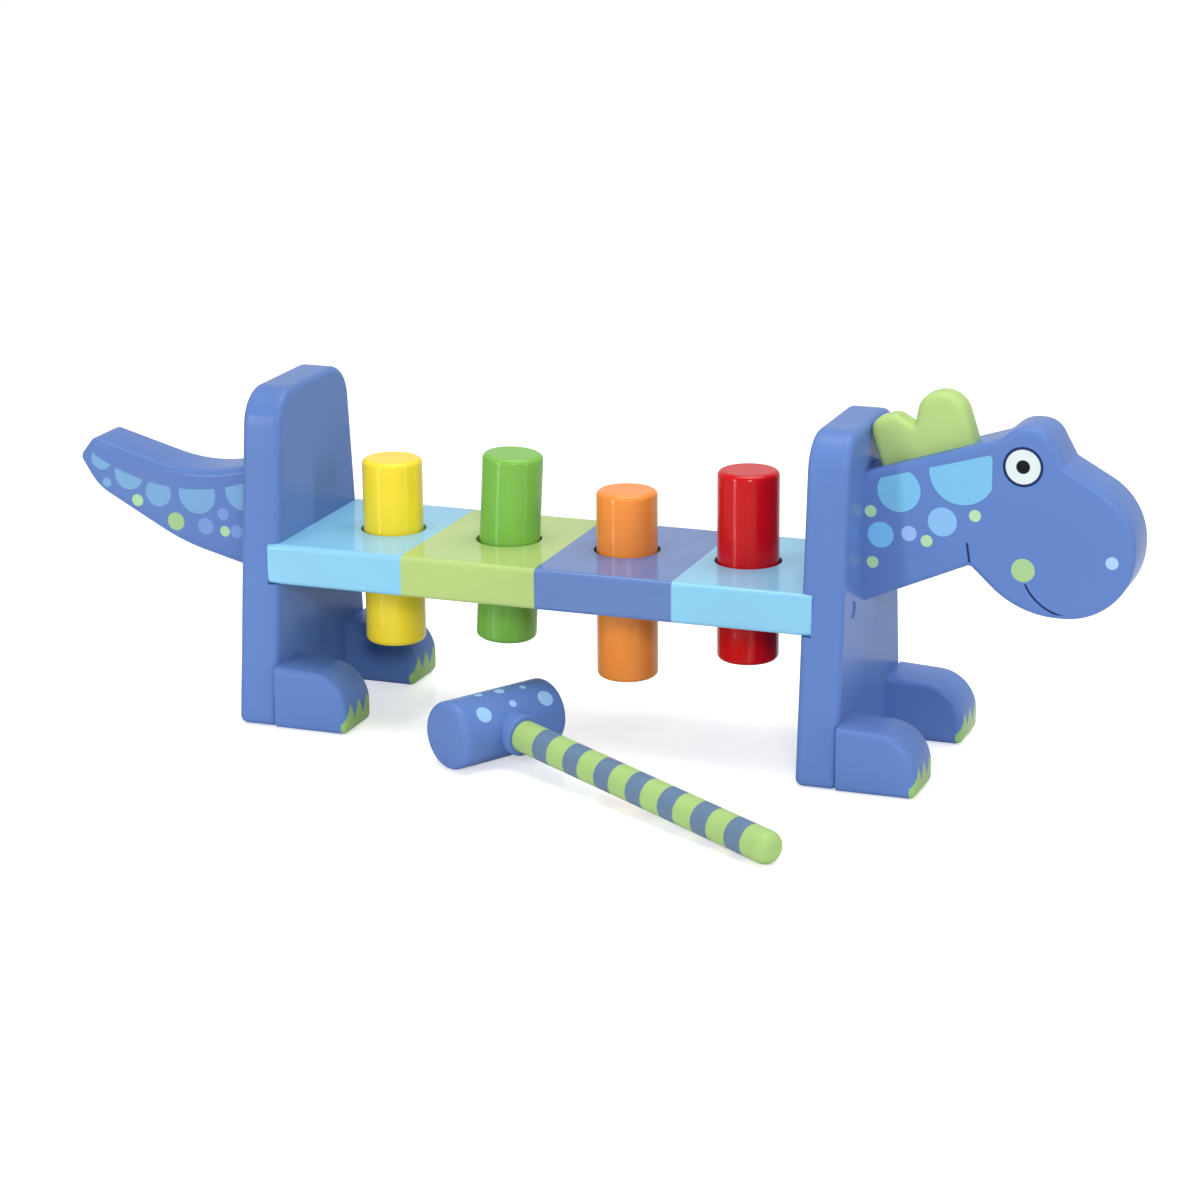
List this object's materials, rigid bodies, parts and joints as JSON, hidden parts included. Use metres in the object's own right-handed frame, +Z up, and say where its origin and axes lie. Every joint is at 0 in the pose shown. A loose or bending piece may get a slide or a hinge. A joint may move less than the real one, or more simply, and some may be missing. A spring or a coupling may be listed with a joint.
{
  "type": "peg pounding bench",
  "caption": "Dinosaur-shaped wooden pounding bench: round pegs are driven with a small mallet through gripping holes in a plank between two tapered end panels.",
  "frame": {"origin": "on the floor, in the middle of the box round the bench and its mallet", "axes": "+X along the bench towards the head, +Z up, -Y towards the side where the mallet lies"},
  "size_m": [0.3989, 0.163, 0.1342],
  "materials": {
    "blue_paint": "gloss paint",
    "plank_paint": "gloss paint in four fields",
    "lime_paint": "gloss paint",
    "yellow_paint": "gloss paint",
    "green_paint": "gloss paint",
    "orange_paint": "gloss paint",
    "red_paint": "gloss paint",
    "ring_rubber": "matt",
    "screw_steel": "zinc plated",
    "bare_wood": "bare"
  },
  "bodies": {
    "bench": {"rear_panel": "blue_paint", "front_panel": "blue_paint", "plank": "plank_paint", "yellow_grip_ring": "ring_rubber", "green_grip_ring": "ring_rubber", "orange_grip_ring": "ring_rubber", "red_grip_ring": "ring_rubber", "head_and_neck": "blue_paint", "crest": "lime_paint", "tail": "blue_paint", "rear_near_foot": "blue_paint", "rear_far_foot": "blue_paint", "front_near_foot": "blue_paint", "front_far_foot": "blue_paint", "plank_screws_rear": "screw_steel", "plank_screws_front": "screw_steel", "screw_plugs_rear": "blue_paint", "screw_plugs_front": "blue_paint", "neck_dowels": "bare_wood", "crest_dowels": "bare_wood", "tail_dowels": "bare_wood", "rear_foot_dowels": "bare_wood", "front_foot_dowels": "bare_wood"},
    "yellow_peg": {"yellow_peg": "yellow_paint"},
    "green_peg": {"green_peg": "green_paint"},
    "orange_peg": {"orange_peg": "orange_paint"},
    "red_peg": {"red_peg": "red_paint"},
    "mallet": {"mallet_head": "blue_paint", "mallet_handle": "lime_paint"}
  },
  "joints": [
    {"name": "yellow_peg_slide", "type": "slide", "parent": "bench", "child": "yellow_peg", "axis": [0, 0, 1], "range_m": [-0.0245, 0.0275]},
    {"name": "green_peg_slide", "type": "slide", "parent": "bench", "child": "green_peg", "axis": [0.0523, 0, 0.9986], "range_m": [-0.0295, 0.021]},
    {"name": "orange_peg_slide", "type": "slide", "parent": "bench", "child": "orange_peg", "axis": [0, 0, 1], "range_m": [-0.02, 0.032]},
    {"name": "red_peg_slide", "type": "slide", "parent": "bench", "child": "red_peg", "axis": [0, 0, 1], "range_m": [-0.031, 0.021]},
    {"name": "mallet_lift", "type": "slide", "parent": "bench", "child": "mallet", "axis": [0, -0.7071, 0.7071], "range_m": [0, 0.15]}
  ]
}
